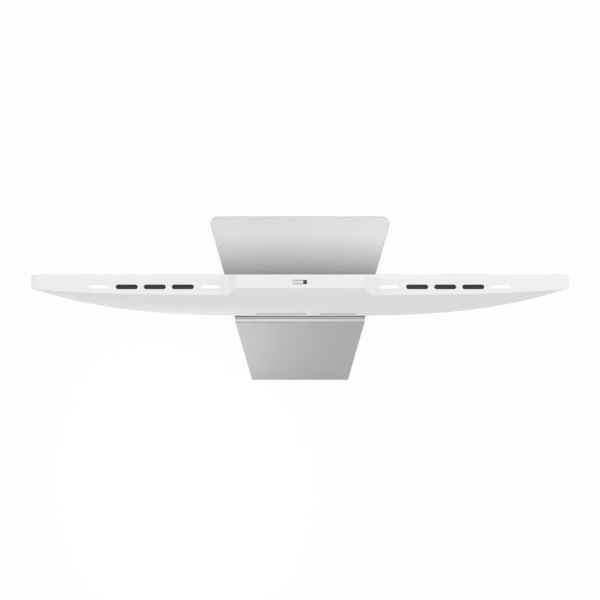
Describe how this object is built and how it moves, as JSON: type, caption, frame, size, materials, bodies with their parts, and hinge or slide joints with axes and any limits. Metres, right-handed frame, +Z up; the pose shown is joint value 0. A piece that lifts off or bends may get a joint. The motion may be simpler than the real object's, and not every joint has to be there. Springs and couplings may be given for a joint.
{
  "type": "computer monitor",
  "caption": "Desktop monitor with slim white housing, camera hump with sliding privacy shutter, pillow-shaped back and a bent sheet-metal stand that lets the head tilt.",
  "frame": {"origin": "bottom centre of the whole part, on the desk under the foot's pads", "axes": "+X to the right seen from the front, +Y to the back (the screen faces -Y), +Z up"},
  "size_m": [0.5412, 0.185, 0.4462],
  "materials": {
    "jack_plastic": "plain",
    "zinc_fastener": "zinc plated",
    "camera_black": "plain",
    "camera_window_black": "polished",
    "cover_fastener": "nickel plated",
    "optical_film": "translucent",
    "port_shell": "nickel plated",
    "polyimide_film": "film",
    "pad_rubber": "matte",
    "washer_brass": "plain",
    "bezel_plastic": "fine satin",
    "hinge_steel": "zinc plated",
    "pin_steel": "turned",
    "key_plastic": "fine satin",
    "circuit_board": "solder mask",
    "screen_glass": "anti-glare",
    "led_aluminium": "milled",
    "light_guide": "clear acrylic",
    "louvre_net": "fine net",
    "chassis_steel": "galvanised",
    "frame_plastic": "plain",
    "tray_steel": "galvanised",
    "shutter_plastic": "plain",
    "heat_sink_aluminium": "anodised",
    "cover_plastic": "fine grained",
    "reflector_film": "white mirror film",
    "knob_plastic": "fine satin",
    "insert_plastic": "smooth",
    "speaker_plastic": "plain",
    "stand_sheet": "satin silver paint",
    "dust_net": "fine net"
  },
  "bodies": {
    "stand": {"stand_plate": "stand_sheet", "foot_pads": "pad_rubber", "hinge_base_bracket": "hinge_steel", "hinge_base_screws": "zinc_fastener", "hinge_pins": "pin_steel", "hinge_nuts": "zinc_fastener", "friction_washers": "washer_brass"},
    "display_head": {"audio_jack": "jack_plastic", "board_screws": "zinc_fastener", "camera_module": "camera_black", "camera_window": "camera_window_black", "cover_screws": "cover_fastener", "dc_power_jack": "jack_plastic", "diffuser_sheet": "optical_film", "displayport_port": "port_shell", "flex_tails": "polyimide_film", "front_bezel": "bezel_plastic", "hdmi_port": "port_shell", "hinge_head_bracket": "hinge_steel", "hinge_head_screws": "zinc_fastener", "key_board": "circuit_board", "lcd_cell": "screen_glass", "led_bar": "led_aluminium", "led_driver_board": "circuit_board", "light_guide_plate": "light_guide", "louvre_dust_net": "louvre_net", "main_board": "circuit_board", "main_chassis": "chassis_steel", "mould_frame": "frame_plastic", "panel_flex_cable": "polyimide_film", "panel_tray": "tray_steel", "prism_sheet": "optical_film", "processor_heat_sink": "heat_sink_aluminium", "rear_cover": "cover_plastic", "reflector_sheet": "reflector_film", "slot_inserts": "insert_plastic", "source_board": "circuit_board", "speaker_left": "speaker_plastic", "speaker_right": "speaker_plastic", "top_dust_nets": "dust_net", "tray_screws": "zinc_fastener", "usb_port_inner": "port_shell", "usb_port_outer": "port_shell"},
    "privacy_shutter": {"privacy_shutter": "shutter_plastic", "shutter_knob": "knob_plastic"},
    "input_key": {"input_key": "key_plastic"},
    "minus_key": {"minus_key": "key_plastic"},
    "plus_key": {"plus_key": "key_plastic"},
    "menu_key": {"menu_key": "key_plastic"},
    "power_key": {"power_key": "key_plastic"}
  },
  "joints": [
    {"name": "head_tilt", "type": "hinge", "parent": "stand", "child": "display_head", "pos_m": [0, 0.0005, 0.2], "axis": [-1, 0, 0], "range_deg": [-5, 15]},
    {"name": "shutter_slide", "type": "slide", "parent": "display_head", "child": "privacy_shutter", "axis": [-1, 0, 0], "range_m": [0, 0.0035]},
    {"name": "input_key_press", "type": "slide", "parent": "display_head", "child": "input_key", "axis": [0, 0, 1], "range_m": [0, 0.0006], "stiffness_N_per_m": 800, "springref_m": -0.0005},
    {"name": "minus_key_press", "type": "slide", "parent": "display_head", "child": "minus_key", "axis": [0, 0, 1], "range_m": [0, 0.0006], "stiffness_N_per_m": 800, "springref_m": -0.0005},
    {"name": "plus_key_press", "type": "slide", "parent": "display_head", "child": "plus_key", "axis": [0, 0, 1], "range_m": [0, 0.0006], "stiffness_N_per_m": 800, "springref_m": -0.0005},
    {"name": "menu_key_press", "type": "slide", "parent": "display_head", "child": "menu_key", "axis": [0, 0, 1], "range_m": [0, 0.0006], "stiffness_N_per_m": 800, "springref_m": -0.0005},
    {"name": "power_key_press", "type": "slide", "parent": "display_head", "child": "power_key", "axis": [0, 0, 1], "range_m": [0, 0.0006], "stiffness_N_per_m": 800, "springref_m": -0.0005}
  ]
}
